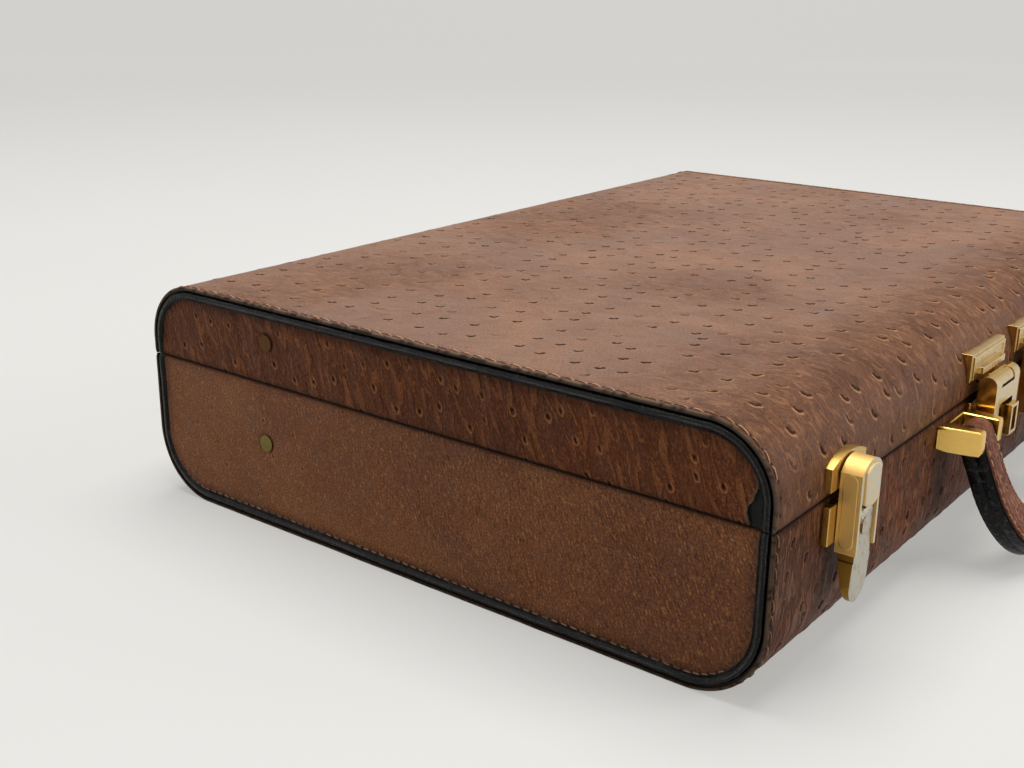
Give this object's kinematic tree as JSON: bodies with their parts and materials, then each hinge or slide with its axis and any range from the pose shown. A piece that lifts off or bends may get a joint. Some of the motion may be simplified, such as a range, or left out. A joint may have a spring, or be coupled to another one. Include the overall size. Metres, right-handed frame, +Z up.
{
  "type": "attache case",
  "caption": "Shallow leather-covered attache case with round long edges, black edge rims, draw latches, hasp locks, a swinging handle and a hinged lid held by folding stays.",
  "frame": {"origin": "middle of the flat underside of the base", "axes": "+X along the case to the right as seen from the handle side, +Y from the handle side to the hinge side, +Z up"},
  "size_m": [0.452, 0.3746, 0.106],
  "materials": {
    "leather_wrap": "quilled ostrich-type hide, waxed semi-gloss",
    "leather_end": "quilled hide, waxed, darker",
    "leather_handle": "creased quilled hide",
    "edge_paint": "black edge paint, worn satin",
    "brass": "gold-plated, polished and worn",
    "brass_dull": "bare, dull",
    "suede": "napped",
    "board": "raw board"
  },
  "bodies": {
    "base": {"base_shell": "board", "base_wrap": "leather_wrap", "base_end_left": "leather_end", "base_end_right": "leather_end", "base_rim_left": "edge_paint", "base_rim_right": "edge_paint", "base_lining": "suede", "base_lip": "suede", "hinge_base_leaf": "brass", "hinge_pin": "brass_dull", "latch_base_left": "brass", "latch_base_right": "brass", "latch_pivot_pins": "brass_dull", "lock_body_left": "brass", "lock_body_right": "brass", "handle_bracket_left": "brass", "handle_bracket_right": "brass", "handle_pins": "brass_dull", "stay_rivets_base": "brass_dull"},
    "lid": {"lid_shell": "board", "lid_wrap": "leather_wrap", "lid_end_left": "leather_end", "lid_end_right": "leather_end", "lid_rim_left": "edge_paint", "lid_rim_right": "edge_paint", "lid_lining": "suede", "lid_pocket": "suede", "hinge_lid_leaf": "brass", "latch_keeper_left": "brass", "latch_keeper_right": "brass", "lock_plate_left": "brass", "lock_plate_right": "brass", "lock_hinge_pins": "brass_dull", "stay_rivets_lid": "brass_dull"},
    "handle": {"handle_core": "edge_paint", "handle_outer_leather": "leather_handle", "handle_inner_leather": "leather_handle", "handle_bushes": "brass_dull"},
    "latch_lever_left": {"latch_lever_left": "brass", "latch_crank_pin_left": "brass_dull"},
    "latch_casing_left": {"latch_casing_left": "brass"},
    "hasp_left": {"hasp_left": "brass"},
    "lock_slide_left": {"lock_slide_left": "brass"},
    "stay_lower_left": {"stay_lower_left": "brass_dull", "stay_elbow_left": "brass_dull"},
    "stay_upper_left": {"stay_upper_left": "brass_dull"},
    "latch_lever_right": {"latch_lever_right": "brass", "latch_crank_pin_right": "brass_dull"},
    "latch_casing_right": {"latch_casing_right": "brass"},
    "hasp_right": {"hasp_right": "brass"},
    "lock_slide_right": {"lock_slide_right": "brass"},
    "stay_lower_right": {"stay_lower_right": "brass_dull", "stay_elbow_right": "brass_dull"},
    "stay_upper_right": {"stay_upper_right": "brass_dull"}
  },
  "joints": [
    {"name": "lid_hinge", "type": "hinge", "parent": "base", "child": "lid", "pos_m": [0, 0.1668, 0.069], "axis": [-1, 0, 0], "range_deg": [0, 105]},
    {"name": "handle_swing", "type": "hinge", "parent": "base", "child": "handle", "pos_m": [0, -0.175, 0.061], "axis": [-1, 0, 0], "range_deg": [-15, 110]},
    {"name": "latch_lever_left_turn", "type": "hinge", "parent": "base", "child": "latch_lever_left", "pos_m": [-0.1745, -0.1712, 0.062], "axis": [-1, 0, 0], "range_deg": [0, 90]},
    {"name": "latch_casing_left_turn", "type": "hinge", "parent": "latch_lever_left", "child": "latch_casing_left", "pos_m": [-0.1745, -0.1712, 0.052], "axis": [-1, 0, 0], "range_deg": [-90, 0]},
    {"name": "hasp_left_turn", "type": "hinge", "parent": "lid", "child": "hasp_left", "pos_m": [-0.0295, -0.172, 0.0765], "axis": [-1, 0, 0], "range_deg": [0, 110]},
    {"name": "lock_slide_left_push", "type": "slide", "parent": "base", "child": "lock_slide_left", "axis": [-1, 0, 0], "range_m": [0, 0.006], "stiffness_N_per_m": 120},
    {"name": "stay_lower_left_turn", "type": "hinge", "parent": "base", "child": "stay_lower_left", "pos_m": [0, 0.08831, 0.0405], "axis": [-1, 0, 0], "range_deg": [0, 105]},
    {"name": "stay_upper_left_turn", "type": "hinge", "parent": "stay_lower_left", "child": "stay_upper_left", "pos_m": [0, 0.00705, 0.0597], "axis": [-1, 0, 0], "range_deg": [-105, 0]},
    {"name": "latch_lever_right_turn", "type": "hinge", "parent": "base", "child": "latch_lever_right", "pos_m": [0.1745, -0.1712, 0.062], "axis": [-1, 0, 0], "range_deg": [0, 90]},
    {"name": "latch_casing_right_turn", "type": "hinge", "parent": "latch_lever_right", "child": "latch_casing_right", "pos_m": [0.1745, -0.1712, 0.052], "axis": [-1, 0, 0], "range_deg": [-90, 0]},
    {"name": "hasp_right_turn", "type": "hinge", "parent": "lid", "child": "hasp_right", "pos_m": [0.0295, -0.172, 0.0765], "axis": [-1, 0, 0], "range_deg": [0, 110]},
    {"name": "lock_slide_right_push", "type": "slide", "parent": "base", "child": "lock_slide_right", "axis": [1, 0, 0], "range_m": [0, 0.006], "stiffness_N_per_m": 120},
    {"name": "stay_lower_right_turn", "type": "hinge", "parent": "base", "child": "stay_lower_right", "pos_m": [0, 0.08831, 0.0405], "axis": [-1, 0, 0], "range_deg": [0, 105]},
    {"name": "stay_upper_right_turn", "type": "hinge", "parent": "stay_lower_right", "child": "stay_upper_right", "pos_m": [0, 0.00705, 0.0597], "axis": [-1, 0, 0], "range_deg": [-105, 0]}
  ],
  "couplings": [
    {"joint": "latch_casing_left_turn", "follows": "latch_lever_left_turn", "ratio": -1},
    {"joint": "stay_lower_left_turn", "follows": "lid_hinge", "ratio": 1},
    {"joint": "stay_upper_left_turn", "follows": "lid_hinge", "ratio": -1},
    {"joint": "latch_casing_right_turn", "follows": "latch_lever_right_turn", "ratio": -1},
    {"joint": "stay_lower_right_turn", "follows": "lid_hinge", "ratio": 1},
    {"joint": "stay_upper_right_turn", "follows": "lid_hinge", "ratio": -1}
  ]
}
